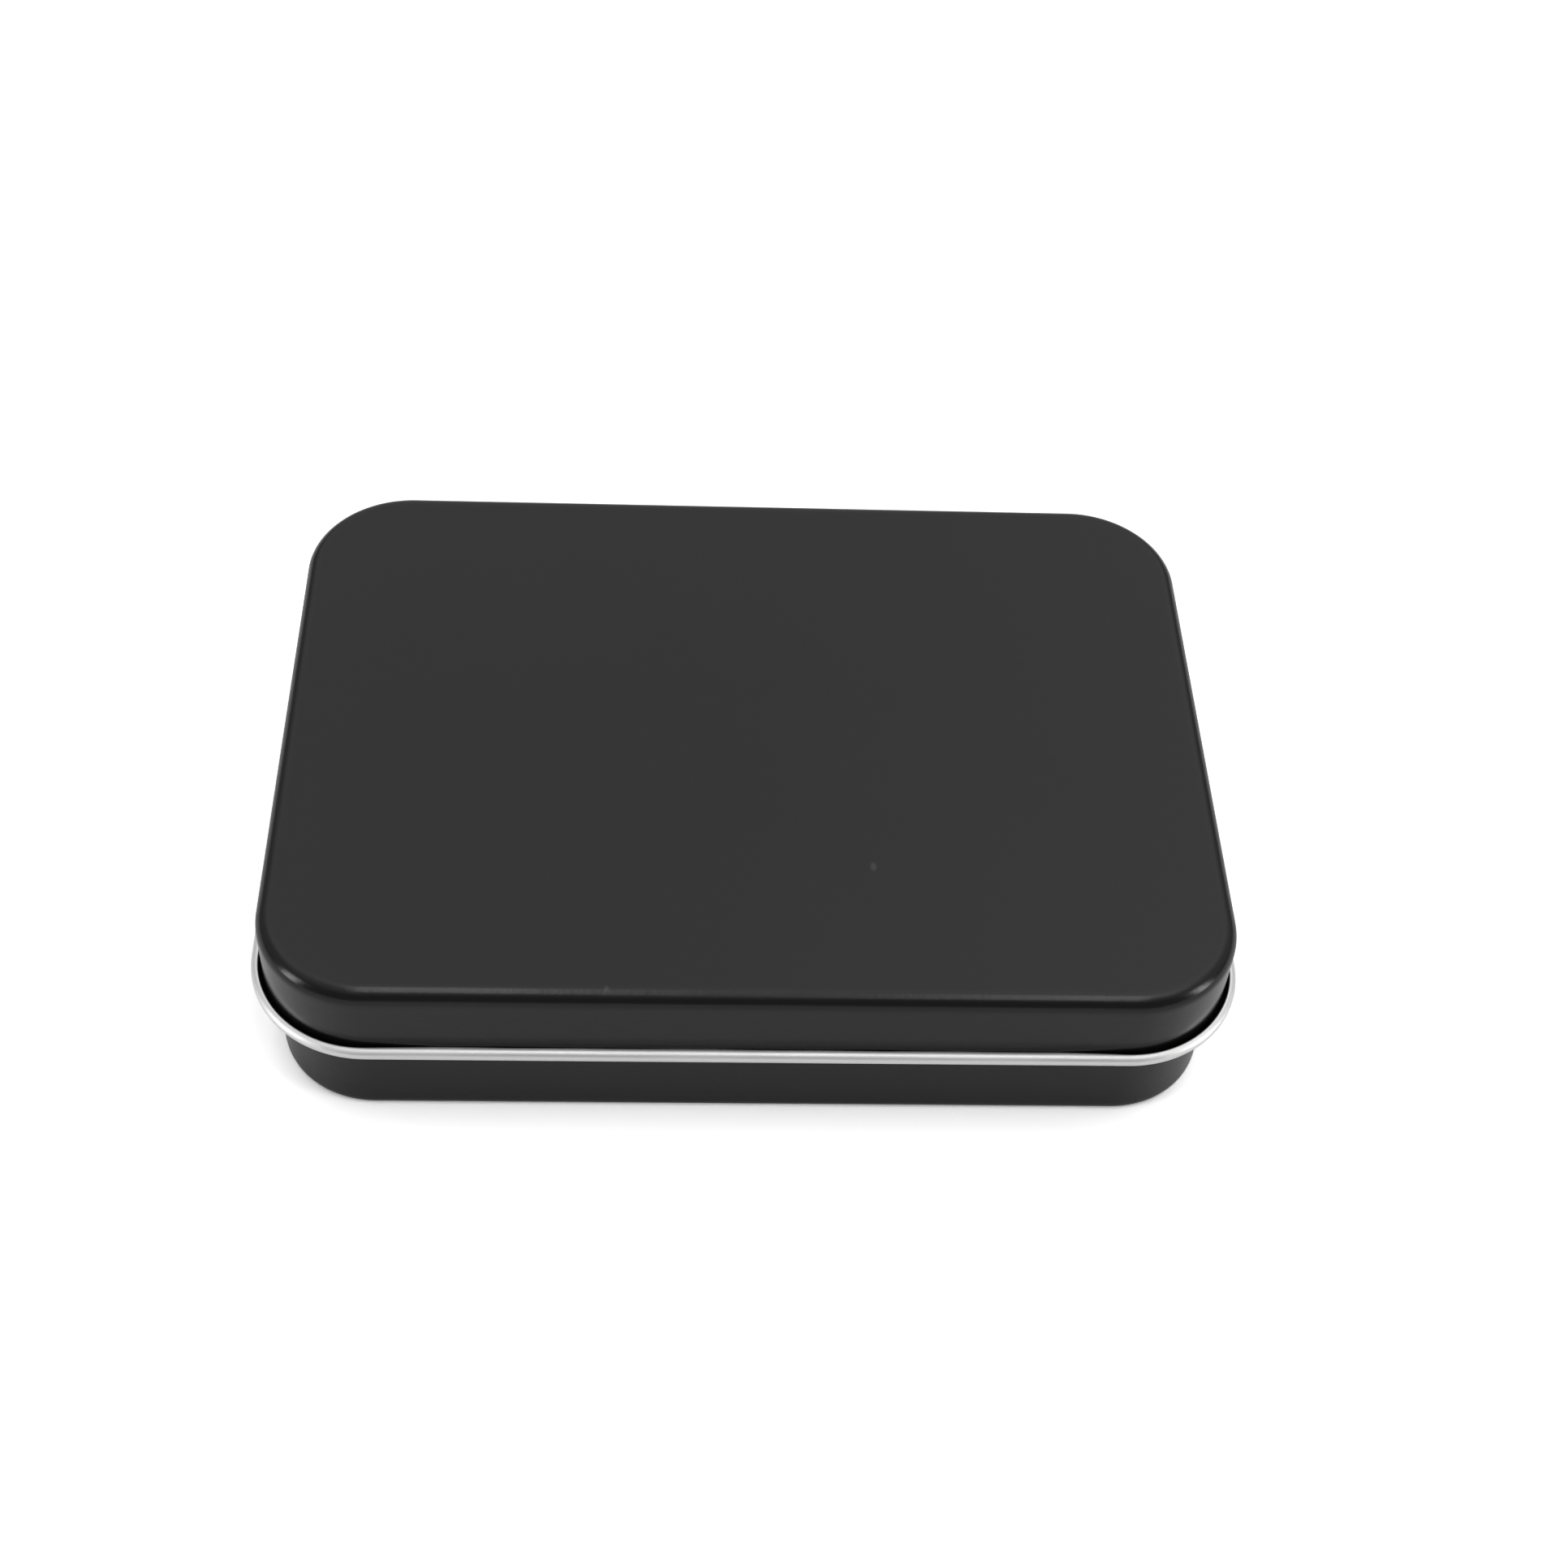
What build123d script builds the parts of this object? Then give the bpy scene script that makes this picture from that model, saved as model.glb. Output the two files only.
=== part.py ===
from build123d import *
import os
from math import radians

# A hinged game tin pressed from tinplate: a tray, a lid that closes over it, and two wire
# hinge pins at the back. All sizes are in millimetres. The origin is at the centre of the
# footprint on the resting surface, +X is to the right, the front is towards -Y and +Z is up.

# ---- Driving dimensions -------------------------------------------------------------------
overall_length = 115.0        # along X, across the lid's hem
overall_depth = 85.0          # along Y, across the lid's hem
overall_height = 23.0         # along Z, closed
corner_radius = 14.25         # plan radius at the outside of the lid's hem
sheet = 0.25                  # tinplate thickness of both stampings

lid_edge_radius = 1.8         # outside radius between the lid's panel and its skirt
hem_height = 13.45            # centre of the lid's rolled hem, which is also the hinge axis

tray_gap = 1.05               # from the inside of the lid's skirt to the tray's wall
tray_edge_radius = 1.6        # outside radius between the tray's wall and its floor
rim_radius = 0.6              # outside radius of the tray's rolled rim
seat_gap = 0.2                # from the tray's rim to the underside of the lid's panel
floor_ring_width = 3.0        # flat standing ring round the raised floor panel
floor_panel_lift = 0.5        # height of the raised floor panel

pin_diameter = 1.0            # hinge wire
pin_length = 14.0
pin_chamfer = 0.12
hinge_spacing = 56.0          # between the middles of the two hinges
pin_clearance = 0.05          # radial, in the lid's hem, which turns on the pin
loop_clearance = 0.02         # radial, in the tray's loops, which grip the pin
loop_width = 6.0              # tray loop, along the pin
loop_end_angle = 145.0        # where the loop stops after passing over the pin
hem_end_angle = 85.0          # where the open hem stops, short of the top of its roll
knuckle_end_angle = 120.0     # where the closed hem stops after passing over the pin
knuckle_overlap = 0.5         # closed hem past each end of the pin
notch_side_gap = 0.5          # between the loop and the ends of the cut hem
notch_top_gap = 0.6           # between the loop and the skirt cut away above it

# ---- Derived sizes ------------------------------------------------------------------------
pin_radius = pin_diameter / 2
hem_inner_radius = pin_radius + pin_clearance
hem_outer_radius = hem_inner_radius + sheet
hem_reach = hem_inner_radius + hem_outer_radius       # from the skirt's face to the hem's outside

skirt_length = overall_length - 2 * hem_reach
skirt_depth = overall_depth - 2 * hem_reach
skirt_radius = corner_radius - hem_reach

tray_inset = sheet + tray_gap                         # skirt's outer face to tray's outer face
rim_top = overall_height - sheet - seat_gap
rim_centre_height = rim_top - rim_radius

hinge_y = skirt_depth / 2 + hem_inner_radius
tray_back_y = skirt_depth / 2 - tray_inset
loop_inner_radius = pin_radius + loop_clearance
loop_outer_radius = loop_inner_radius + sheet
loop_arm_length = hinge_y - tray_back_y
loop_wrap_angle = 90.0 + loop_end_angle               # from under the pin, outside, and over it
loop_wrap_length = radians(loop_wrap_angle) * (loop_inner_radius + sheet / 2)
window_height = loop_arm_length + loop_wrap_length    # opening left by the strip that was bent out

notch_width = loop_width + 2 * notch_side_gap
notch_top = hem_height + loop_outer_radius + notch_top_gap
knuckle_length = pin_length + 2 * knuckle_overlap
hinge_centres = {"hinge_pin_left": -hinge_spacing / 2, "hinge_pin_right": hinge_spacing / 2}


def outline(inset):
    """Rounded rectangle in the current sketch, inset from the lid skirt's outer face."""
    RectangleRounded(skirt_length - 2 * inset, skirt_depth - 2 * inset, skirt_radius - inset)


def outline_path(inset, height):
    """The same outline as a closed line, starting halfway along the right-hand side."""
    half_x = skirt_length / 2 - inset
    half_y = skirt_depth / 2 - inset
    radius = skirt_radius - inset
    with BuildLine(Plane.XY.offset(height)) as line:
        Line((half_x, 0), (half_x, half_y - radius))
        CenterArc((half_x - radius, half_y - radius), radius, 0, 90)
        Line((half_x - radius, half_y), (radius - half_x, half_y))
        CenterArc((radius - half_x, half_y - radius), radius, 90, 90)
        Line((-half_x, half_y - radius), (-half_x, radius - half_y))
        CenterArc((radius - half_x, radius - half_y), radius, 180, 90)
        Line((radius - half_x, -half_y), (half_x - radius, -half_y))
        CenterArc((half_x - radius, radius - half_y), radius, 270, 90)
        Line((half_x, radius - half_y), (half_x, 0))
    return line.wire()


def right_side_plane(inset, height):
    """Section plane at the start of outline_path: its X points outwards and its Y up."""
    return Plane(origin=(skirt_length / 2 - inset, 0, height), x_dir=(1, 0, 0), z_dir=(0, -1, 0))


def hinge_plane(x):
    """Section plane across the hinge axis: its X points to the rear and its Y up."""
    return Plane(origin=(x, hinge_y, hem_height), x_dir=(0, 1, 0), z_dir=(1, 0, 0))


def curl(inner_radius, outer_radius, start_angle, arc_size, centre_x=0.0):
    """Section of sheet rolled round a centre, in the current sketch."""
    with BuildLine() as section:
        outer = CenterArc((centre_x, 0), outer_radius, start_angle, arc_size)
        inner = CenterArc((centre_x, 0), inner_radius, start_angle, arc_size)
        Line(outer @ 0, inner @ 0)
        Line(outer @ 1, inner @ 1)
    make_face(section.edges())


# ---- Tray ---------------------------------------------------------------------------------
# A drawn pan with a rounded bottom edge, a raised floor panel, a rim rolled inwards, and two
# strips lanced from the back wall and bent out into loops that hold the hinge pins.
with BuildPart() as tray:
    with BuildSketch():
        outline(tray_inset)
    extrude(amount=rim_centre_height)
    fillet(tray.faces().sort_by(Axis.Z)[0].edges(), radius=tray_edge_radius)
    offset(amount=-sheet, openings=tray.faces().sort_by(Axis.Z)[-1])

    panel_inset = tray_inset + tray_edge_radius + floor_ring_width
    with BuildSketch(Plane.XY.offset(sheet)):
        outline(panel_inset - sheet)
    extrude(amount=floor_panel_lift)
    with BuildSketch():
        outline(panel_inset)
    extrude(amount=floor_panel_lift, mode=Mode.SUBTRACT)

    with BuildSketch(right_side_plane(tray_inset, rim_centre_height)):
        curl(rim_radius - sheet, rim_radius, 0, 270, centre_x=-rim_radius)
    sweep(path=outline_path(tray_inset, rim_centre_height))

    for hinge_x in hinge_centres.values():
        window_bottom = hem_height - loop_inner_radius
        with BuildSketch(Plane.XZ.offset(-tray_back_y)):
            with Locations((hinge_x, window_bottom + window_height / 2)):
                Rectangle(loop_width, window_height)
        extrude(amount=sheet, mode=Mode.SUBTRACT)
        with BuildSketch(hinge_plane(hinge_x - loop_width / 2)):
            curl(loop_inner_radius, loop_outer_radius, -90, loop_wrap_angle)
            with Locations((-(loop_arm_length + sheet) / 2, -loop_inner_radius - sheet / 2)):
                Rectangle(loop_arm_length + sheet, sheet)
        extrude(amount=loop_width)
tray.part.label = "tray"

# ---- Lid ----------------------------------------------------------------------------------
# A drawn cap with a rounded top edge. The skirt ends in a hem rolled outwards, open at the top
# along the front and sides, closed over each hinge pin, and cut away for each tray loop.
with BuildPart() as lid:
    with BuildSketch(Plane.XY.offset(hem_height)):
        outline(0)
    extrude(amount=overall_height - hem_height)
    fillet(lid.faces().sort_by(Axis.Z)[-1].edges(), radius=lid_edge_radius)
    offset(amount=-sheet, openings=lid.faces().sort_by(Axis.Z)[0])

    with BuildSketch(right_side_plane(0, hem_height)):
        curl(hem_inner_radius, hem_outer_radius, 180, 180 + hem_end_angle, centre_x=hem_inner_radius)
    sweep(path=outline_path(0, hem_height))

    for hinge_x in hinge_centres.values():
        with BuildSketch(hinge_plane(hinge_x - knuckle_length / 2)):
            curl(hem_inner_radius, hem_outer_radius, hem_end_angle, knuckle_end_angle - hem_end_angle)
        extrude(amount=knuckle_length)
        notch_height = notch_top - (hem_height - hem_outer_radius)
        with BuildSketch(Plane.XY.offset(hem_height - hem_outer_radius)):
            with Locations((hinge_x, hinge_y - hem_outer_radius + hem_reach / 2)):
                Rectangle(notch_width, hem_reach + 2 * sheet)
        extrude(amount=notch_height, mode=Mode.SUBTRACT)
lid.part.label = "lid"


# ---- Hinge pins ---------------------------------------------------------------------------
def make_pin(hinge_x):
    """A cut length of wire with broken edges, lying along the hinge axis."""
    with BuildPart() as pin:
        with BuildSketch(hinge_plane(hinge_x - pin_length / 2)):
            Circle(pin_radius)
        extrude(amount=pin_length)
        chamfer(pin.edges().filter_by(GeomType.CIRCLE), length=pin_chamfer)
    return pin


pins = {}
for pin_name, pin_x in hinge_centres.items():
    pins[pin_name] = make_pin(pin_x).part
    pins[pin_name].label = pin_name

# ---- Files --------------------------------------------------------------------------------
os.makedirs("parts", exist_ok=True)
export_step(tray.part, "parts/tray.step")
export_step(lid.part, "parts/lid.step")
for pin_name, pin_part in pins.items():
    export_step(pin_part, f"parts/{pin_name}.step")
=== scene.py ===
from math import atan2, cos, radians, sin

import bpy
from mathutils import Matrix, Vector


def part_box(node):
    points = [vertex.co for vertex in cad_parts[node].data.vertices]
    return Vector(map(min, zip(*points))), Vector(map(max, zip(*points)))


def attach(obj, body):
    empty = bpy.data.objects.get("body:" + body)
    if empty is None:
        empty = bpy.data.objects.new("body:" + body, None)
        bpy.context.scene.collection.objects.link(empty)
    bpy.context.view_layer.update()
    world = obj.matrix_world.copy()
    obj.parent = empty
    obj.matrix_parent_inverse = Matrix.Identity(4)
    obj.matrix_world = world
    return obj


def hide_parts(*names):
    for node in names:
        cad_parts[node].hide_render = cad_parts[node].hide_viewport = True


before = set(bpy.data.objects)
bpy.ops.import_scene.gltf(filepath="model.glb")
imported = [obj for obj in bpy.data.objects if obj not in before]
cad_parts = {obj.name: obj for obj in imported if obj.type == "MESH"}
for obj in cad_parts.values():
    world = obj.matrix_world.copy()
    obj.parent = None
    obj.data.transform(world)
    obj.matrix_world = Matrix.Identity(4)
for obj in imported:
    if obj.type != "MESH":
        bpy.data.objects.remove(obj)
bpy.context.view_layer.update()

MM = 0.001

# ---- Sizes, in millimetres and degrees, in the frame's axes -----------------------------------
# The outer sizes and the hinge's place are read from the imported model. The others repeat the
# model's own dimensions, but for those under "Only in this script".
tray_low, tray_high = (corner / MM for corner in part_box("tray"))
lid_low, lid_high = (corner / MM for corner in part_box("lid"))
pin_low, pin_high = (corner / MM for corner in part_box("hinge_pin_right"))

SHEET = 0.25
HEM_INNER_RADIUS = 0.55
HEM_OUTER_RADIUS = HEM_INNER_RADIUS + SHEET
HEM_REACH = HEM_INNER_RADIUS + HEM_OUTER_RADIUS
HEM_CORNER_RADIUS = 14.25
HEM_OPEN_ANGLE = 85.0
LID_EDGE_RADIUS = 1.8

SKIRT_HALF_X = lid_high.x - HEM_REACH
SKIRT_HALF_Y = -lid_low.y - HEM_REACH
SKIRT_RADIUS = HEM_CORNER_RADIUS - HEM_REACH
STRAIGHT_HALF_X = SKIRT_HALF_X - SKIRT_RADIUS
STRAIGHT_HALF_Y = SKIRT_HALF_Y - SKIRT_RADIUS
LID_TOP = lid_high.z
HINGE_X = (pin_low.x + pin_high.x) / 2
HINGE_Y = (pin_low.y + pin_high.y) / 2
HINGE_Z = (pin_low.z + pin_high.z) / 2
PIN_LENGTH = pin_high.x - pin_low.x
PIN_RADIUS = (pin_high.z - pin_low.z) / 2

# Outward is measured from the skirt's outer face, so the tray's wall lies at a negative place.
TRAY_INSET = SKIRT_HALF_X - tray_high.x
WALL_OUTWARD = -TRAY_INSET
TRAY_EDGE_RADIUS = 1.6
RIM_RADIUS = 0.6
RIM_END_ANGLE = 270.0
RIM_CENTRE_Z = tray_high.z - RIM_RADIUS
FLOOR_RING_WIDTH = 3.0
FLOOR_PANEL_LIFT = 0.5

# Only in this script: small bends where the model is square, at the floor's step and where the
# loops leave the wall. The second bend starts below the loop's arm, and so does the window here.
FLOOR_STEP_RADIUS = 0.2
LOOP_BEND_RADIUS = 0.15

LOOP_WIDTH = 6.0
LOOP_CLEARANCE = 0.02
LOOP_INNER_RADIUS = PIN_RADIUS + LOOP_CLEARANCE
LOOP_OUTER_RADIUS = LOOP_INNER_RADIUS + SHEET
LOOP_END_ANGLE = 145.0
LOOP_ARM_LENGTH = HINGE_Y - (SKIRT_HALF_Y - TRAY_INSET)
LOOP_WRAP_LENGTH = radians(90.0 + LOOP_END_ANGLE) * (LOOP_INNER_RADIUS + SHEET / 2)
WINDOW_HEIGHT = LOOP_ARM_LENGTH + LOOP_WRAP_LENGTH
WINDOW_BOTTOM = HINGE_Z - LOOP_OUTER_RADIUS - LOOP_BEND_RADIUS
WINDOW_TOP = HINGE_Z - LOOP_INNER_RADIUS + WINDOW_HEIGHT
NOTCH_SIDE_GAP = 0.5
NOTCH_TOP_GAP = 0.6
NOTCH_WIDTH = LOOP_WIDTH + 2 * NOTCH_SIDE_GAP
NOTCH_TOP = HINGE_Z + LOOP_OUTER_RADIUS + NOTCH_TOP_GAP
KNUCKLE_OVERLAP = 0.5
KNUCKLE_LENGTH = PIN_LENGTH + 2 * KNUCKLE_OVERLAP

# Only in this script: the hem closes further along the sides than round the corners. It starts
# to open a length before each corner, opens over another length, and wanders along the sides.
# Up to the fixed angle its roll is the same all round. The waves are in radians per millimetre.
HEM_CLOSED_ANGLE = 108.0
HEM_FIXED_ANGLE = 60.0
HEM_OPENS_BEFORE = 10.0
HEM_OPENS_OVER = 15.0
HEM_WANDER = 5.0
WANDER_WAVES = ((0.31, 0.43), (0.13, -0.19))

# Only in this script: the skirt leans out towards the hem. It reaches furthest at FLARE_FOOT
# above the hinge's axis, fades out over FLARE_HEIGHT above that and eases back in below it.
# FLARE_STEP is the height between its rows.
FLARE_REACH = 0.20
FLARE_FOOT = 0.75
FLARE_HEIGHT = 1.3
FLARE_STEP = 0.15

# ---- Fineness of the meshes ---------------------------------------------------------------------
CORNER_STEPS = 32
STRAIGHT_STEP = 4.0
ARC_STEP = 9.0
LIP_ANGLES = (30.0, 60.0, 84.0)
HEM_CLOSING_STEPS = 7
SHARP_ANGLE = 40.0
# Rows beside each bend keep its shading off the flats. Those of the lid's top are places outward,
# and the others are distances from the bend.
TOP_ROWS = (-6.0, -3.0)
TOP_MARGIN = 0.3
WALL_MARGIN = 0.5
PANEL_INSETS = (2.0, 0.6)
RING_MARGIN = 0.4
# Rings that fill a flat panel, as shares of the panel's size.
PANEL_RINGS = (0.75, 0.5, 0.25)


# ---- Node helpers -------------------------------------------------------------------------------
# A Mix node has one set of sockets for numbers and another for colours.
MIX_FACTOR = 0
MIX_NUMBERS = (2, 3)
MIX_NUMBER_RESULT = 0
MIX_COLOURS = (6, 7)
MIX_COLOUR_RESULT = 2
# Nearly all of a Noise texture's values lie between these two.
NOISE_RANGE = (0.3, 0.7)
# The share of a spot's or a speck's radius inside which it is at full strength.
SPOT_CORE = 0.35
SPECK_CORE = 0.4


def new_material(name):
    """A node material, with its Principled shader."""
    material = bpy.data.materials.new(name)
    material.use_nodes = True
    nodes = material.node_tree.nodes
    return material, nodes, material.node_tree.links, nodes["Principled BSDF"]


def add_node(nodes, kind, **values):
    """A node with its properties and, where a key starts with in_, that input socket set."""
    node = nodes.new(kind)
    for key, value in values.items():
        if key.startswith("in_"):
            node.inputs[key.removeprefix("in_")].default_value = value
        else:
            setattr(node, key, value)
    return node


def object_place(nodes):
    """The place of a surface point in its object's own coordinates, in metres."""
    return add_node(nodes, "ShaderNodeTexCoord").outputs["Object"]


def noise(nodes, links, vector, scale, detail=2.0, stretch=(1.0, 1.0, 1.0)):
    """Noise with its scale in features per metre, multiplied along each axis by stretch."""
    mapping = add_node(nodes, "ShaderNodeMapping", in_Scale=stretch)
    links.new(vector, mapping.inputs["Vector"])
    texture = add_node(nodes, "ShaderNodeTexNoise", in_Scale=scale, in_Detail=detail)
    links.new(mapping.outputs["Vector"], texture.inputs["Vector"])
    return texture.outputs["Fac"]


def map_range(nodes, links, value, from_low, from_high, to_low, to_high, smooth=False):
    """A value moved from one range to another, and held inside the second."""
    node = add_node(nodes, "ShaderNodeMapRange")
    if smooth:
        node.interpolation_type = "SMOOTHSTEP"
    for name, number in (("From Min", from_low), ("From Max", from_high),
                         ("To Min", to_low), ("To Max", to_high)):
        node.inputs[name].default_value = number
    links.new(value, node.inputs["Value"])
    return node.outputs["Result"]


def mix_colours(nodes, links, factor, dark, light):
    """A colour between two, where dark may also be another node's output."""
    node = add_node(nodes, "ShaderNodeMix", data_type="RGBA")
    first, second = (node.inputs[socket] for socket in MIX_COLOURS)
    if isinstance(dark, tuple):
        first.default_value = (*dark, 1.0)
    else:
        links.new(dark, first)
    second.default_value = (*light, 1.0)
    links.new(factor, node.inputs[MIX_FACTOR])
    return node.outputs[MIX_COLOUR_RESULT]


def blend_values(nodes, links, factor, low, high):
    """Another node's output at factor 0, and a second one's at factor 1."""
    node = add_node(nodes, "ShaderNodeMix", data_type="FLOAT")
    first, second = MIX_NUMBERS
    for socket, value in ((MIX_FACTOR, factor), (first, low), (second, high)):
        links.new(value, node.inputs[socket])
    return node.outputs[MIX_NUMBER_RESULT]


def add_math(nodes, links, operation, *terms):
    """A Math node over numbers and other nodes' outputs."""
    node = add_node(nodes, "ShaderNodeMath", operation=operation)
    for index, term in enumerate(terms):
        if isinstance(term, (int, float)):
            node.inputs[index].default_value = term
        else:
            links.new(term, node.inputs[index])
    return node.outputs["Value"]


def vector_math(nodes, links, operation, vector, constant=None):
    """A Vector Math node over another node's output and, where given, a constant vector."""
    node = add_node(nodes, "ShaderNodeVectorMath", operation=operation)
    links.new(vector, node.inputs[0])
    if constant is not None:
        node.inputs[1].default_value = constant
    return node.outputs["Value" if operation in ("LENGTH", "DOT_PRODUCT") else "Vector"]


def near(nodes, links, vector, place, size):
    """1 within a small round spot about a place in metres, falling to 0 at its rim."""
    offset = vector_math(nodes, links, "SUBTRACT", vector, place)
    scaled = vector_math(nodes, links, "DIVIDE", offset, size)
    distance = vector_math(nodes, links, "LENGTH", scaled)
    return map_range(nodes, links, distance, SPOT_CORE, 1.0, 1.0, 0.0, smooth=True)


def specks(nodes, links, vector, scale, rarity, radius):
    """Sparse round specks: one cell in so many, each speck a share of its cell across."""
    cells = add_node(nodes, "ShaderNodeTexVoronoi", in_Scale=scale)
    links.new(vector, cells.inputs["Vector"])
    spot = map_range(nodes, links, cells.outputs["Distance"], radius * SPECK_CORE, radius,
                     1.0, 0.0, smooth=True)
    split = add_node(nodes, "ShaderNodeSeparateColor")
    links.new(cells.outputs["Color"], split.inputs[0])
    chosen = add_math(nodes, links, "GREATER_THAN", split.outputs[0], 1.0 - 1.0 / rarity)
    return add_math(nodes, links, "MULTIPLY", spot, chosen)


def add_bump(nodes, links, shader, height, distance, below=None):
    """Bumps up to a distance in metres on the shader's surface, on top of those of a Bump node
    below where one is given."""
    bump = add_node(nodes, "ShaderNodeBump", in_Strength=1.0, in_Distance=distance)
    links.new(height, bump.inputs["Height"])
    if below is not None:
        links.new(below.outputs["Normal"], bump.inputs["Normal"])
    links.new(bump.outputs["Normal"], shader.inputs["Normal"])
    return bump


def ray_kinds(nodes, links):
    """Whether the camera sees the surface, and whether a mirror or glass shows it."""
    path = add_node(nodes, "ShaderNodeLightPath").outputs
    mirrored = add_math(nodes, links, "MAXIMUM", path["Is Glossy Ray"], path["Is Transmission Ray"])
    return path["Is Camera Ray"], mirrored


# ---- Materials ----------------------------------------------------------------------------------
# Scales are in features per metre. Heights, places and sizes are in metres.
ENAMEL_DARK = (0.0046, 0.0046, 0.0047)
ENAMEL_LIGHT = (0.0058, 0.0058, 0.0059)
ENAMEL_ROUGHNESS = (0.19, 0.22)
ENAMEL_SPECULAR = 0.34
CLOUD_SCALE = 60.0
PATCH_SCALE = 250.0
BUCKLE_SCALE = 28.0
BUCKLE_HEIGHT = 0.00012
DRAWING_MARK_SCALE = 700.0
DRAWING_MARK_HEIGHT = 0.000014
PEEL_SCALE = 2400.0
PEEL_HEIGHT = 0.000006
DUST_SCALE = 180.0
DUST_RARITY = 7.0
DUST_RADIUS = 0.06
DUST_COLOUR = (0.009, 0.009, 0.009)
SCUFF_COLOUR = (0.030, 0.030, 0.030)
CHIP_PLACE = (0.0143, -0.0216, 0.0230)
CHIP_SIZE = (0.0005, 0.0009, 0.0005)
NICK_PLACE = (-0.0162, -0.0396, 0.0228)
NICK_SIZE = (0.0004, 0.0006, 0.0006)

TIN_DARK = (0.79, 0.79, 0.785)
TIN_LIGHT = (0.86, 0.86, 0.855)
TIN_ROUGHNESS = (0.46, 0.54)
TIN_GRAIN_SCALE = 2200.0
TIN_GRAIN_STRETCH = (0.03, 1.0, 1.0)
TIN_GRAIN_HEIGHT = 0.0000015

EDGE_DARK = (0.46, 0.455, 0.45)
EDGE_LIGHT = (0.62, 0.615, 0.61)
EDGE_ROUGHNESS = 0.45
EDGE_GRAIN_SCALE = 3000.0

WIRE_DARK = (0.48, 0.475, 0.465)
WIRE_LIGHT = (0.66, 0.655, 0.64)
WIRE_ROUGHNESS = (0.22, 0.34)
WIRE_LINE_SCALE = 5000.0
WIRE_LINE_STRETCH = (0.02, 1.0, 1.0)
WIRE_LINE_HEIGHT = 0.000002


def black_enamel():
    """Satin black enamel on tinplate that isn't quite flat: faint cloudiness and orange peel, a
    few specks of dust under the film, a chip on the top and a nick on the front edge."""
    material, nodes, links, shader = new_material("black_enamel")
    vector = object_place(nodes)
    clouds = noise(nodes, links, vector, CLOUD_SCALE, detail=3.0)
    tone = mix_colours(nodes, links, clouds, ENAMEL_DARK, ENAMEL_LIGHT)
    dust = specks(nodes, links, vector, DUST_SCALE, DUST_RARITY, DUST_RADIUS)
    tone = mix_colours(nodes, links, dust, tone, DUST_COLOUR)
    for place, size in ((CHIP_PLACE, CHIP_SIZE), (NICK_PLACE, NICK_SIZE)):
        damage = near(nodes, links, vector, place, size)
        tone = mix_colours(nodes, links, damage, tone, SCUFF_COLOUR)
    links.new(tone, shader.inputs["Base Color"])
    patches = noise(nodes, links, vector, PATCH_SCALE, detail=4.0)
    roughness = map_range(nodes, links, patches, *NOISE_RANGE, *ENAMEL_ROUGHNESS)
    links.new(roughness, shader.inputs["Roughness"])
    shader.inputs["Specular IOR Level"].default_value = ENAMEL_SPECULAR
    buckle = noise(nodes, links, vector, BUCKLE_SCALE, detail=1.0)
    waves = add_bump(nodes, links, shader, buckle, BUCKLE_HEIGHT)
    drawing_marks = noise(nodes, links, vector, DRAWING_MARK_SCALE)
    marks = add_bump(nodes, links, shader, drawing_marks, DRAWING_MARK_HEIGHT, below=waves)
    peel = noise(nodes, links, vector, PEEL_SCALE)
    add_bump(nodes, links, shader, peel, PEEL_HEIGHT, below=marks)
    return material


def grained_metal(name, grain_values, tones, roughness, height):
    """Bare metal whose tone, roughness and fine relief all follow its grain."""
    material, nodes, links, shader = new_material(name)
    grain = noise(nodes, links, object_place(nodes), **grain_values)
    links.new(mix_colours(nodes, links, grain, *tones), shader.inputs["Base Color"])
    shader.inputs["Metallic"].default_value = 1.0
    links.new(map_range(nodes, links, grain, *NOISE_RANGE, *roughness), shader.inputs["Roughness"])
    add_bump(nodes, links, shader, grain, height)
    return material


def bare_tinplate():
    """Bright tinplate with its fine rolling grain."""
    grain = {"scale": TIN_GRAIN_SCALE, "detail": 3.0, "stretch": TIN_GRAIN_STRETCH}
    tones = (TIN_DARK, TIN_LIGHT)
    return grained_metal("bare_tinplate", grain, tones, TIN_ROUGHNESS, TIN_GRAIN_HEIGHT)


def raw_edge():
    """The cut edge of the sheet, duller than its faces."""
    material, nodes, links, shader = new_material("raw_edge")
    grain = noise(nodes, links, object_place(nodes), EDGE_GRAIN_SCALE, detail=3.0)
    links.new(mix_colours(nodes, links, grain, EDGE_DARK, EDGE_LIGHT), shader.inputs["Base Color"])
    shader.inputs["Metallic"].default_value = 1.0
    shader.inputs["Roughness"].default_value = EDGE_ROUGHNESS
    return material


def drawn_wire():
    """Bright steel wire with die lines along it."""
    lines = {"scale": WIRE_LINE_SCALE, "stretch": WIRE_LINE_STRETCH}
    tones = (WIRE_DARK, WIRE_LIGHT)
    return grained_metal("drawn_wire", lines, tones, WIRE_ROUGHNESS, WIRE_LINE_HEIGHT)


SHEET_MATERIALS = (black_enamel(), bare_tinplate(), raw_edge())
ENAMEL_SLOT, TIN_SLOT, EDGE_SLOT = range(len(SHEET_MATERIALS))
WIRE = drawn_wire()


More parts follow.
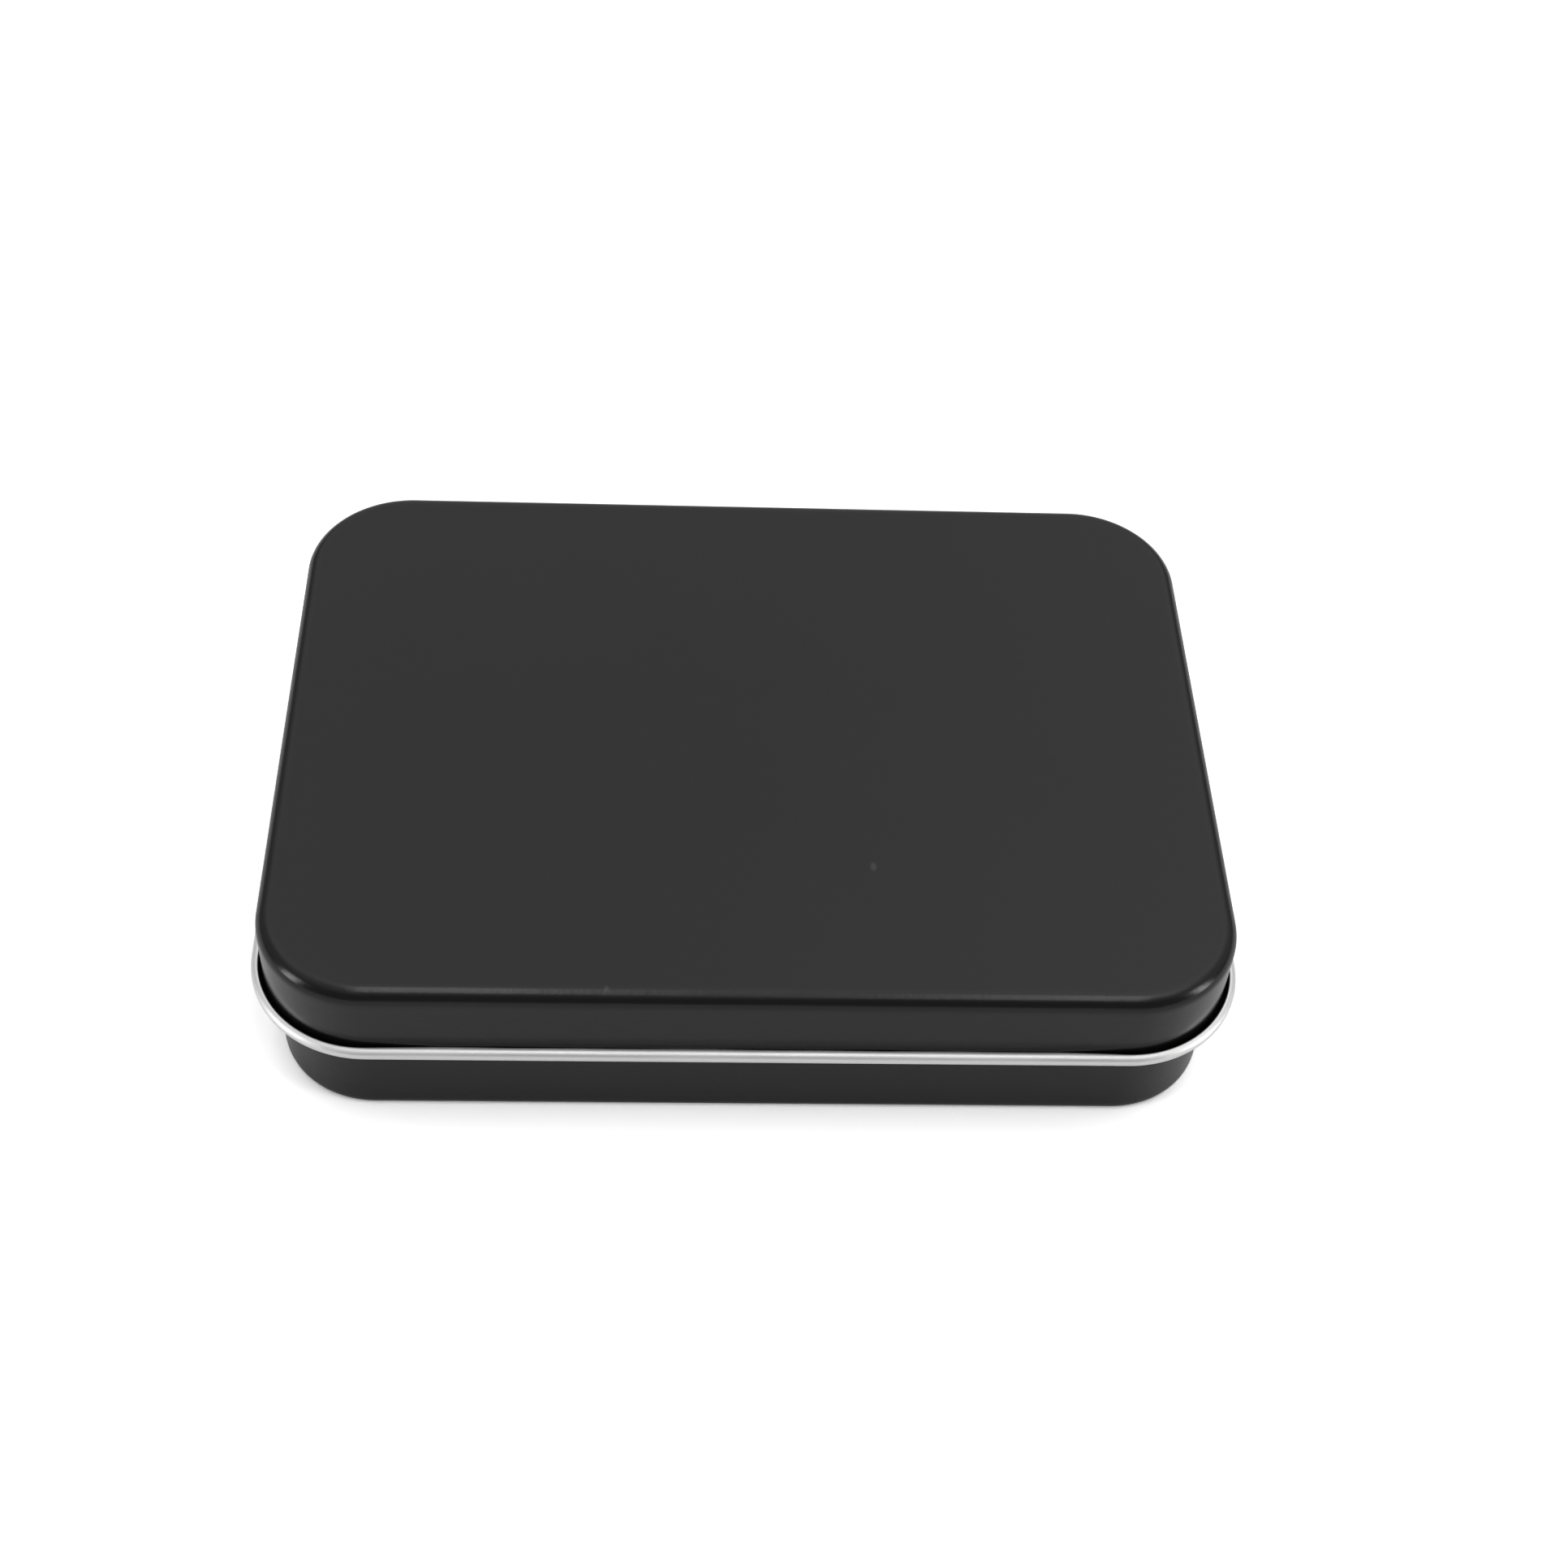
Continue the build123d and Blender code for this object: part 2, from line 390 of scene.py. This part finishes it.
# ---- Sheet-metal mesh builder ---------------------------------------------------------------------
class Sheet:
    """A sheet of metal as a web of cells, each point of it held as a pair: one on the sheet's A
    face, one on its B face. Where the web ends, a strip of cut edge joins the two faces."""

    def __init__(self):
        self.face_a = []
        self.face_b = []
        self.cells = []

    def point(self, a, b):
        """Adds a pair of points and gives its number."""
        self.face_a.append(a)
        self.face_b.append(b)
        return len(self.face_a) - 1

    def cell(self, corners, slot_a, slot_b):
        """Adds a cell by its points' numbers, anticlockwise as seen from the A face."""
        self.cells.append((tuple(corners), slot_a, slot_b))

    def build(self, name):
        """The closed mesh, as a new object in the scene."""
        count = len(self.face_a)
        faces = []
        slots = []
        open_edges = set()
        for corners, slot_a, slot_b in self.cells:
            faces.append(corners)
            slots.append(slot_a)
            faces.append(tuple(corner + count for corner in reversed(corners)))
            slots.append(slot_b)
            for start, end in zip(corners, corners[1:] + corners[:1]):
                if (end, start) in open_edges:
                    open_edges.remove((end, start))
                else:
                    open_edges.add((start, end))
        for start, end in sorted(open_edges):
            faces.append((end, start, start + count, end + count))
            slots.append(EDGE_SLOT)
        points = [Vector(point) * MM for point in self.face_a + self.face_b]
        mesh = bpy.data.meshes.new(name)
        mesh.from_pydata(points, [], faces)
        for material in SHEET_MATERIALS:
            mesh.materials.append(material)
        mesh.polygons.foreach_set("material_index", slots)
        mesh.polygons.foreach_set("use_smooth", [True] * len(faces))
        mesh.set_sharp_from_angle(angle=radians(SHARP_ANGLE))
        mesh.update()
        piece = bpy.data.objects.new(name, mesh)
        bpy.context.scene.collection.objects.link(piece)
        return piece


# ---- Plan outline -----------------------------------------------------------------------------------
class Station:
    """A place on the skirt's outline: the centre of its corner's bend, or the point as far inside
    a straight, and the way out from there. back_x is its X where it lies on the back."""

    def __init__(self, centre, out, back_x=None):
        self.centre = centre
        self.out = out
        self.back_x = back_x

    def at(self, outward, z):
        """The point that far outside the skirt's outer face, at a height."""
        reach = SKIRT_RADIUS + outward
        return (self.centre[0] + self.out[0] * reach, self.centre[1] + self.out[1] * reach, z)


def back_stops():
    """X of each place on the back where the notches, loops and knuckles begin or end."""
    half_widths = (LOOP_WIDTH / 2, NOTCH_WIDTH / 2, KNUCKLE_LENGTH / 2)
    stops = []
    for side in (-1, 1):
        stops.append(side * HINGE_X)
        for half_width in half_widths:
            stops.append(side * HINGE_X - half_width)
            stops.append(side * HINGE_X + half_width)
    return stops


def along(start, end):
    """Even places between two ends, with neither end."""
    steps = round(abs(end - start) / STRAIGHT_STEP)
    return [start + (end - start) * step / steps for step in range(1, steps)]


def back_places(start, end):
    """The back's stops, with even places between them that don't crowd any stop."""
    stops = back_stops()
    fill = [place for place in along(start, end)
            if min(abs(place - stop) for stop in stops) > STRAIGHT_STEP / 4]
    return sorted(stops + fill, reverse=True)


def outline():
    """Stations anticlockwise round the tin, from the start of its back right-hand corner."""
    half_x, half_y = STRAIGHT_HALF_X, STRAIGHT_HALF_Y
    stations = []
    corners = ((half_x, half_y), (-half_x, half_y), (-half_x, -half_y), (half_x, -half_y))
    for number, (x, y) in enumerate(corners):
        for step in range(CORNER_STEPS + 1):
            angle = radians(90.0 * number + 90.0 * step / CORNER_STEPS)
            stations.append(Station((x, y), (cos(angle), sin(angle))))
        next_x, next_y = corners[(number + 1) % len(corners)]
        out = stations[-1].out
        if number == 0:
            stations += [Station((place, y), out, place) for place in back_places(x, next_x)]
        elif number == 2:
            stations += [Station((place, y), out) for place in along(x, next_x)]
        else:
            stations += [Station((x, place), out) for place in along(y, next_y)]
    return stations


STATIONS = outline()


def spans(half_width):
    """Pairs of neighbouring back stations that lie within half_width of a hinge's middle."""
    found = []
    for index in range(len(STATIONS) - 1):
        here, after = STATIONS[index], STATIONS[index + 1]
        if here.back_x is None or after.back_x is None:
            continue
        middle = abs((here.back_x + after.back_x) / 2)
        if abs(middle - HINGE_X) < half_width:
            found.append((index, index + 1))
    return found


# ---- Section rows -----------------------------------------------------------------------------------
# A row is a pair of (outward, z) points, on the sheet's A and B faces.
def arc(centre, radius_a, radius_b, start, end, skip_first=True, steps=None):
    """Rows along a bend from one angle to another."""
    steps = steps or max(2, round(abs(end - start) / ARC_STEP))
    rows = []
    for step in range(1 if skip_first else 0, steps + 1):
        angle = radians(start + (end - start) * step / steps)
        across, up = cos(angle), sin(angle)
        rows.append(((centre[0] + radius_a * across, centre[1] + radius_a * up),
                     (centre[0] + radius_b * across, centre[1] + radius_b * up)))
    return rows


def lip(centre, radius_a, radius_b, end):
    """Rows that round the sheet's cut edge off, past the end of a bend at that angle."""
    middle = (radius_a + radius_b) / 2
    half = (radius_a - radius_b) / 2
    angle = radians(end)
    rows = []
    for lip_angle in LIP_ANGLES:
        turn = radians(lip_angle)
        ahead = abs(half) * sin(turn)
        row = []
        for sign in (1, -1):
            radius = middle + sign * half * cos(turn)
            row.append((centre[0] + radius * cos(angle) - sin(angle) * ahead,
                        centre[1] + radius * sin(angle) + cos(angle) * ahead))
        rows.append(tuple(row))
    return rows


def smooth_step(share):
    """0 to 1 with a soft start and end."""
    return share * share * (3.0 - 2.0 * share)


def corner_share(station):
    """0 along the sides, 1 round the corners, where the sheet had to stretch."""
    x, y = station.centre
    smaller, larger = sorted(abs(part) for part in station.out)
    into_corner = SKIRT_RADIUS * atan2(smaller, larger)
    if abs(station.out[0]) < abs(station.out[1]):
        into_corner += abs(x) - STRAIGHT_HALF_X
    else:
        into_corner += abs(y) - STRAIGHT_HALF_Y
    return smooth_step(min(1.0, max(0.0, (into_corner + HEM_OPENS_BEFORE) / HEM_OPENS_OVER)))


def hem_end(station):
    """The angle at which the hem's roll ends: nearly closed along the sides, with a little wander,
    and more open round the corners."""
    x, y = station.centre
    share = corner_share(station)
    wander = HEM_WANDER
    for wave_x, wave_y in WANDER_WAVES:
        wander *= sin(wave_x * x + wave_y * y)
    wander *= 1.0 - share
    return HEM_CLOSED_ANGLE + (HEM_OPEN_ANGLE - HEM_CLOSED_ANGLE) * share + wander


def flare(station, height):
    """How far the skirt leans outwards at a height above the hinge's axis, along the front and the
    sides. It stays straight at the corners, and at the back, where the tray's loops are."""
    if station.out[1] > abs(station.out[0]):
        return 0.0
    if height > FLARE_FOOT:
        share = max(0.0, 1.0 - (height - FLARE_FOOT) / FLARE_HEIGHT) ** 2
    else:
        share = smooth_step(height / FLARE_FOOT)
    return FLARE_REACH * share * (1.0 - corner_share(station))


# ---- Sheet parts ------------------------------------------------------------------------------------
def add_point(sheet, station, row):
    """Adds a row's pair of points at a station and gives its number."""
    a, b = row
    return sheet.point(station.at(*a), station.at(*b))


def add_rows(sheet, rows):
    """Adds each row at every station and gives the numbers as [row][station]."""
    return [[add_point(sheet, station, row) for station in STATIONS] for row in rows]


def fill_panel(sheet, ring, slot_a, slot_b):
    """Fills a flat panel inside a ring of points with shrinking rings and a last polygon."""
    previous = ring
    for share in PANEL_RINGS:
        inner = []
        for number in ring:
            a, b = sheet.face_a[number], sheet.face_b[number]
            x, y = a[0] * share, a[1] * share
            inner.append(sheet.point((x, y, a[2]), (x, y, b[2])))
        for here in range(len(ring)):
            after = (here + 1) % len(ring)
            sheet.cell((inner[here], previous[here], previous[after], inner[after]), slot_a, slot_b)
        previous = inner
    sheet.cell(previous, slot_a, slot_b)


def fill_grid(sheet, grid, slots, bare_edge_row, cut_rows, cut_spans):
    """Adds the cells between the rows, all round the tin. From the bare edge's row on they are cut
    metal, and in the cut rows a notch or a window takes the cut spans away."""
    count = len(STATIONS)
    for row in range(len(grid) - 1):
        upper, lower = grid[row], grid[row + 1]
        slot_a, slot_b = (EDGE_SLOT, EDGE_SLOT) if row >= bare_edge_row else slots
        for here in range(count):
            after = (here + 1) % count
            if row in cut_rows and (here, after) in cut_spans:
                continue
            sheet.cell((upper[here], lower[here], lower[after], upper[after]), slot_a, slot_b)


# ---- Lid --------------------------------------------------------------------------------------------
def skirt_heights():
    """Heights of the skirt's rows above the hinge's axis, from the top down to the axis."""
    steps = round((FLARE_FOOT + FLARE_HEIGHT) / FLARE_STEP)
    heights = {step * FLARE_STEP for step in range(steps + 1)}
    heights |= {NOTCH_TOP - HINGE_Z, LID_TOP - LID_EDGE_RADIUS - WALL_MARGIN - HINGE_Z}
    return sorted(heights, reverse=True)


def add_skirt(sheet, heights):
    """The skirt's rows, each point moved outwards by its flare."""
    grid = []
    for height in heights:
        z = HINGE_Z + height
        numbers = []
        for station in STATIONS:
            swell = flare(station, height)
            numbers.append(add_point(sheet, station, ((swell, z), (swell - SHEET, z))))
        grid.append(numbers)
    return grid


def add_hem_closing(sheet, hem_centre):
    """The last stretch of the hem's roll and its rounded cut edge, which differ from place to
    place."""
    columns = []
    for station in STATIONS:
        end = hem_end(station)
        rows = arc(hem_centre, HEM_INNER_RADIUS, HEM_OUTER_RADIUS, HEM_FIXED_ANGLE, end,
                   steps=HEM_CLOSING_STEPS)
        rows += lip(hem_centre, HEM_INNER_RADIUS, HEM_OUTER_RADIUS, end)
        columns.append([add_point(sheet, station, row) for row in rows])
    return [list(row) for row in zip(*columns)]


def make_lid():
    """The drawn cap: A is its enamelled outside, B its bare inside. The hem is rolled outwards,
    so its visible side is bare."""
    sheet = Sheet()
    top_outwards = (*TOP_ROWS, -LID_EDGE_RADIUS - TOP_MARGIN, -LID_EDGE_RADIUS)
    rows = [((outward, LID_TOP), (outward, LID_TOP - SHEET)) for outward in top_outwards]
    edge_centre = (-LID_EDGE_RADIUS, LID_TOP - LID_EDGE_RADIUS)
    rows += arc(edge_centre, LID_EDGE_RADIUS, LID_EDGE_RADIUS - SHEET, 90.0, 0.0)
    grid = add_rows(sheet, rows)
    heights = skirt_heights()
    first_cut_row = len(grid) + heights.index(NOTCH_TOP - HINGE_Z)
    grid += add_skirt(sheet, heights)
    hem_centre = (HEM_INNER_RADIUS, HINGE_Z)
    roll = arc(hem_centre, HEM_INNER_RADIUS, HEM_OUTER_RADIUS, 180.0, 360.0 + HEM_FIXED_ANGLE)
    grid += add_rows(sheet, roll)
    fill_panel(sheet, grid[0], ENAMEL_SLOT, TIN_SLOT)
    bare_edge_row = len(grid) + HEM_CLOSING_STEPS - 1
    grid += add_hem_closing(sheet, hem_centre)
    cut_rows = range(first_cut_row, len(grid))
    notches = spans(NOTCH_WIDTH / 2)
    fill_grid(sheet, grid, (ENAMEL_SLOT, TIN_SLOT), bare_edge_row, cut_rows, notches)
    piece = sheet.build("lid_shell")
    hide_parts("lid")
    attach(piece, "lid")


# ---- Tray -------------------------------------------------------------------------------------------
def floor_rows():
    """The tray's floor, from its raised panel out to the foot of the wall."""
    flat_out = WALL_OUTWARD - TRAY_EDGE_RADIUS
    step_out = flat_out - FLOOR_RING_WIDTH
    rise = FLOOR_PANEL_LIFT
    bend = FLOOR_STEP_RADIUS
    rows = [((step_out - inset, rise + SHEET), (step_out - inset, rise)) for inset in PANEL_INSETS]
    # The panel steps down to the standing ring in two opposite bends.
    rows += arc((step_out - bend, rise - bend), bend + SHEET, bend, 90.0, 0.0, skip_first=False)
    rows += arc((step_out + SHEET + bend, SHEET + bend), bend, bend + SHEET, 180.0, 270.0)
    rows += [((flat_out - RING_MARGIN, SHEET), (flat_out - RING_MARGIN, 0.0))]
    rows += arc((flat_out, TRAY_EDGE_RADIUS), TRAY_EDGE_RADIUS - SHEET, TRAY_EDGE_RADIUS,
                -90.0, 0.0, skip_first=False)
    return rows


def add_loops(sheet, window_edge, windows):
    """The strip lanced from each window starts at the window's lower edge, bends out, runs under
    the pin and rolls over it."""
    bend_centre = (WALL_OUTWARD + LOOP_BEND_RADIUS, WINDOW_BOTTOM)
    pin_centre = (HEM_INNER_RADIUS, HINGE_Z)
    strip = arc(bend_centre, LOOP_BEND_RADIUS + SHEET, LOOP_BEND_RADIUS, 180.0, 90.0)
    strip += arc(pin_centre, LOOP_INNER_RADIUS, LOOP_OUTER_RADIUS, -90.0, LOOP_END_ANGLE,
                 skip_first=False)
    bare_edge_row = len(strip)
    strip += lip(pin_centre, LOOP_INNER_RADIUS, LOOP_OUTER_RADIUS, LOOP_END_ANGLE)
    columns = {}
    for index in sorted({index for span in windows for index in span}):
        numbers = [add_point(sheet, STATIONS[index], row) for row in strip]
        columns[index] = [window_edge[index]] + numbers
    for row in range(len(strip)):
        slots = (EDGE_SLOT, EDGE_SLOT) if row >= bare_edge_row else (TIN_SLOT, ENAMEL_SLOT)
        for here, after in windows:
            left, right = columns[here], columns[after]
            sheet.cell((left[row], left[row + 1], right[row + 1], right[row]), *slots)


def make_tray():
    """The drawn pan: A is its bare inside, B its enamelled outside."""
    sheet = Sheet()
    rows = floor_rows()
    wall_heights = (TRAY_EDGE_RADIUS + WALL_MARGIN, WINDOW_BOTTOM, WINDOW_TOP,
                    RIM_CENTRE_Z - WALL_MARGIN, RIM_CENTRE_Z)
    window_row = len(rows) + wall_heights.index(WINDOW_BOTTOM)
    rows += [((WALL_OUTWARD - SHEET, z), (WALL_OUTWARD, z)) for z in wall_heights]
    rim_centre = (WALL_OUTWARD - RIM_RADIUS, RIM_CENTRE_Z)
    rows += arc(rim_centre, RIM_RADIUS - SHEET, RIM_RADIUS, 0.0, RIM_END_ANGLE)
    bare_edge_row = len(rows) - 1
    rows += lip(rim_centre, RIM_RADIUS - SHEET, RIM_RADIUS, RIM_END_ANGLE)
    grid = add_rows(sheet, rows)
    fill_panel(sheet, grid[0], TIN_SLOT, ENAMEL_SLOT)
    cut_rows = range(window_row, window_row + 1)
    windows = spans(LOOP_WIDTH / 2)
    fill_grid(sheet, grid, (TIN_SLOT, ENAMEL_SLOT), bare_edge_row, cut_rows, windows)
    add_loops(sheet, grid[window_row], windows)
    piece = sheet.build("tray_shell")
    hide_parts("tray")
    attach(piece, "tray")


# ---- Pins -------------------------------------------------------------------------------------------
def dress_pins():
    """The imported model's own pins, in drawn wire."""
    for pin_name in ("hinge_pin_left", "hinge_pin_right"):
        pin_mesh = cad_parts[pin_name].data
        pin_mesh.materials.clear()
        pin_mesh.materials.append(WIRE)


# ---- Floor ------------------------------------------------------------------------------------------
# The levels are the floor's colour: where light falls on it, as mirrors show it, as the camera sees
# it, and the painted light that the camera sees added beside the tin, which brightens most of the
# tin's shadow there. The other two values are in metres.
FLOOR_HALF_SIZE = 3.0
FLOOR_COLOUR = 0.80
FLOOR_IN_REFLECTIONS = 0.80
FLOOR_TO_CAMERA = 1.10
# Painted light beside the tin: extra floor colour for the camera, fading with distance from the tin's
# sides.
FLOOR_PAINTED_LIGHT_AT_TIN = 0.90
FLOOR_PAINTED_LIGHT_FADE = 0.018


def distance_from_tin(nodes, links):
    """How far a point of the floor lies outside the tray's sides, in metres."""
    place = add_node(nodes, "ShaderNodeNewGeometry").outputs["Position"]
    half_size = (tray_high.x * MM, -tray_low.y * MM, 0.0)
    from_middle = vector_math(nodes, links, "ABSOLUTE", place)
    past_side = vector_math(nodes, links, "SUBTRACT", from_middle, half_size)
    outside = vector_math(nodes, links, "MAXIMUM", past_side, (0.0, 0.0, 0.0))
    return vector_math(nodes, links, "LENGTH", outside)


def floor_white():
    """Pale paper. The camera sees it white, with painted light added close to the tin that brightens
    the tin's shadow, so that only a narrow shadow is left at its foot."""
    material, nodes, links, shader = new_material("floor_white")
    to_camera, mirrored = ray_kinds(nodes, links)
    level = add_math(nodes, links, "MULTIPLY_ADD", mirrored, FLOOR_IN_REFLECTIONS - FLOOR_COLOUR,
                     FLOOR_COLOUR)
    # Painted light: the floor's colour for the camera is raised near the tin, fading with distance, to
    # brighten the tin's shadow.
    distance = distance_from_tin(nodes, links)
    fade = add_math(nodes, links, "MULTIPLY", distance, -1.0 / FLOOR_PAINTED_LIGHT_FADE)
    painted_light = add_math(nodes, links, "EXPONENT", fade)
    seen = add_math(nodes, links, "MULTIPLY_ADD", painted_light, FLOOR_PAINTED_LIGHT_AT_TIN, FLOOR_TO_CAMERA)
    level = blend_values(nodes, links, to_camera, level, seen)
    diffuse = add_node(nodes, "ShaderNodeBsdfDiffuse")
    links.new(level, diffuse.inputs["Color"])
    links.new(diffuse.outputs["BSDF"], nodes["Material Output"].inputs["Surface"])
    nodes.remove(shader)
    return material


def make_floor():
    """A wide flat floor under the tin."""
    size = FLOOR_HALF_SIZE
    mesh = bpy.data.meshes.new("floor")
    mesh.from_pydata([(-size, -size, 0), (size, -size, 0), (size, size, 0), (-size, size, 0)],
                     [], [(0, 1, 2, 3)])
    mesh.materials.append(floor_white())
    floor = bpy.data.objects.new("floor", mesh)
    bpy.context.scene.collection.objects.link(floor)


# ---- Studio light -----------------------------------------------------------------------------------
# Broad washes of light: where each one's middle is, the angle from there to the end of its full
# strength, and the angle at which it is gone.
WASHES = (
    # ceiling
    {"azimuth": 0.0, "elevation": 90.0, "full": 20.0, "gone": 52.0, "strength": 0.38},
    # back wall
    {"azimuth": 178.0, "elevation": 48.0, "full": 15.0, "gone": 48.0, "strength": 0.62},
    # left wall, towards the back
    {"azimuth": -115.0, "elevation": 42.0, "full": 8.0, "gone": 40.0, "strength": 0.26},
    # right wall, towards the back
    {"azimuth": 110.0, "elevation": 48.0, "full": 10.0, "gone": 45.0, "strength": 0.42},
)

# Softboxes on a wall or a ceiling at unit distance. Across is measured towards the front on the
# left wall, towards the back on the right wall and to the right on the ceiling, where up is
# towards the back. The soft edge is a share of the half size, and no light comes from directions
# with less than LEAST_DEPTH towards the wall.
SIDE_BOX = {"elevation": 0.0, "up": 0.16, "half_width": 0.13, "half_height": 0.52, "strength": 7.5}
SIDE_BOX_FORWARD = 0.37
STRIP = {"azimuth": 0.0, "elevation": 90.0, "half_height": 0.34}
PANEL = {"azimuth": 0.0, "elevation": 90.0, "half_height": 0.22}
SOFTBOXES = (
    # upright boxes on the left and right walls
    {**SIDE_BOX, "azimuth": -90.0, "across": SIDE_BOX_FORWARD},
    {**SIDE_BOX, "azimuth": 90.0, "across": -SIDE_BOX_FORWARD},
    # two narrow strips and a dim panel on the ceiling
    {**STRIP, "across": -0.095, "up": -0.08, "half_width": 0.045, "strength": 5.0},
    {**STRIP, "across": 0.20, "up": -0.25, "half_width": 0.055, "strength": 3.9},
    {**PANEL, "across": 0.42, "up": 0.0, "half_width": 0.15, "strength": 0.8},
)
SOFTBOX_EDGE = 0.45
LEAST_DEPTH = 0.01

# The rest of the room, the pale paper that mirrors show at the horizon, the height to which it
# reaches, as a direction's Z, and the least level that the camera sees.
ROOM_LEVEL = 0.20
HORIZON_BACKDROP = 0.30
HORIZON_HEIGHT = 0.14
BACKDROP_TO_CAMERA = 1.0


def direction(azimuth, elevation):
    """Azimuth 0 is the front, 90 the right, 180 the back and -90 the left."""
    a, e = radians(azimuth), radians(elevation)
    return (sin(a) * cos(e), -cos(a) * cos(e), sin(e))


def add_wash(nodes, links, view, azimuth, elevation, full, gone, strength):
    """Broad light, full within one angle of its middle and gone at another."""
    facing = vector_math(nodes, links, "DOT_PRODUCT", view, direction(azimuth, elevation))
    return map_range(nodes, links, facing, cos(radians(gone)), cos(radians(full)), 0.0, strength,
                     smooth=True)


def add_softbox(nodes, links, view, azimuth, elevation, across, up, half_width, half_height,
                strength):
    """A rectangular softbox with a soft edge, on a wall at unit distance."""
    forward = Vector(direction(azimuth, elevation))
    across_axis = Vector((cos(radians(azimuth)), sin(radians(azimuth)), 0.0))
    up_axis = forward.cross(across_axis)
    depth = vector_math(nodes, links, "DOT_PRODUCT", view, forward)
    ahead = add_math(nodes, links, "GREATER_THAN", depth, LEAST_DEPTH)
    light = add_math(nodes, links, "MULTIPLY", ahead, strength)
    for axis, centre, half in ((across_axis, across, half_width), (up_axis, up, half_height)):
        side = vector_math(nodes, links, "DOT_PRODUCT", view, axis)
        place = add_math(nodes, links, "DIVIDE", side, depth)
        offset = add_math(nodes, links, "SUBTRACT", place, centre)
        distance = add_math(nodes, links, "ABSOLUTE", offset)
        window = map_range(nodes, links, distance, half * (1.0 - SOFTBOX_EDGE),
                           half * (1.0 + SOFTBOX_EDGE), 1.0, 0.0, smooth=True)
        light = add_math(nodes, links, "MULTIPLY", light, window)
    return light


def make_world():
    """A white studio: washed ceiling and back wall, softboxes left, right and overhead, and a
    dimmer front. Mirrors also show the pale paper at the horizon, and the camera sees plain white."""
    world = bpy.data.worlds.new("studio")
    bpy.context.scene.world = world
    world.use_nodes = True
    nodes, links = world.node_tree.nodes, world.node_tree.links
    background = nodes["Background"]
    view = add_node(nodes, "ShaderNodeTexCoord").outputs["Generated"]
    light = ROOM_LEVEL
    for wash in WASHES:
        light = add_math(nodes, links, "ADD", add_wash(nodes, links, view, **wash), light)
    for softbox in SOFTBOXES:
        light = add_math(nodes, links, "ADD", add_softbox(nodes, links, view, **softbox), light)
    to_camera, mirrored = ray_kinds(nodes, links)
    parts = add_node(nodes, "ShaderNodeSeparateXYZ")
    links.new(view, parts.inputs[0])
    paper = map_range(nodes, links, parts.outputs["Z"], 0.0, HORIZON_HEIGHT, HORIZON_BACKDROP, 0.0,
                      smooth=True)
    light = add_math(nodes, links, "MULTIPLY_ADD", mirrored, paper, light)
    seen = add_math(nodes, links, "MAXIMUM", light, BACKDROP_TO_CAMERA)
    light = blend_values(nodes, links, to_camera, light, seen)
    links.new(light, background.inputs["Strength"])
    background.inputs["Color"].default_value = (1.0, 1.0, 1.0, 1.0)


# ---- Camera -----------------------------------------------------------------------------------------
# Angles in degrees, distance and target in millimetres, focal length in the photograph's pixels,
# sensor in millimetres and clipping in metres.
CAMERA_ELEVATION = 48.37
CAMERA_YAW = -4.49
CAMERA_ROLL = 4.20
CAMERA_DISTANCE = 321.4
CAMERA_TARGET = (5.78, 11.41, 0.0)
FOCAL_PIXELS = 3000.0
IMAGE_PIXELS = 1932
SENSOR_WIDTH = 36.0
CLIP_START = 0.01
CLIP_END = 20.0


def make_camera():
    """Stands at the photograph's angle: yaw turns it round the tin, roll tips its frame."""
    yaw, elevation, roll = (radians(angle) for angle in (CAMERA_YAW, CAMERA_ELEVATION, CAMERA_ROLL))
    back = Vector((sin(yaw) * cos(elevation), -cos(yaw) * cos(elevation), sin(elevation)))
    right = Vector((cos(yaw), sin(yaw), 0.0))
    up = back.cross(right)
    rolled_right = right * cos(roll) + up * sin(roll)
    rolled_up = up * cos(roll) - right * sin(roll)
    place = (Vector(CAMERA_TARGET) + back * CAMERA_DISTANCE) * MM
    camera = bpy.data.cameras.new("camera")
    camera.sensor_width = SENSOR_WIDTH
    camera.lens = SENSOR_WIDTH * FOCAL_PIXELS / IMAGE_PIXELS
    camera.clip_start = CLIP_START
    camera.clip_end = CLIP_END
    holder = bpy.data.objects.new("camera", camera)
    axes = Matrix((rolled_right, rolled_up, back)).transposed().to_4x4()
    holder.matrix_world = Matrix.Translation(place) @ axes
    bpy.context.scene.collection.objects.link(holder)
    bpy.context.scene.camera = holder


make_lid()
make_tray()
dress_pins()
make_floor()
make_world()
make_camera()
bpy.context.scene.view_settings.view_transform = "Standard"
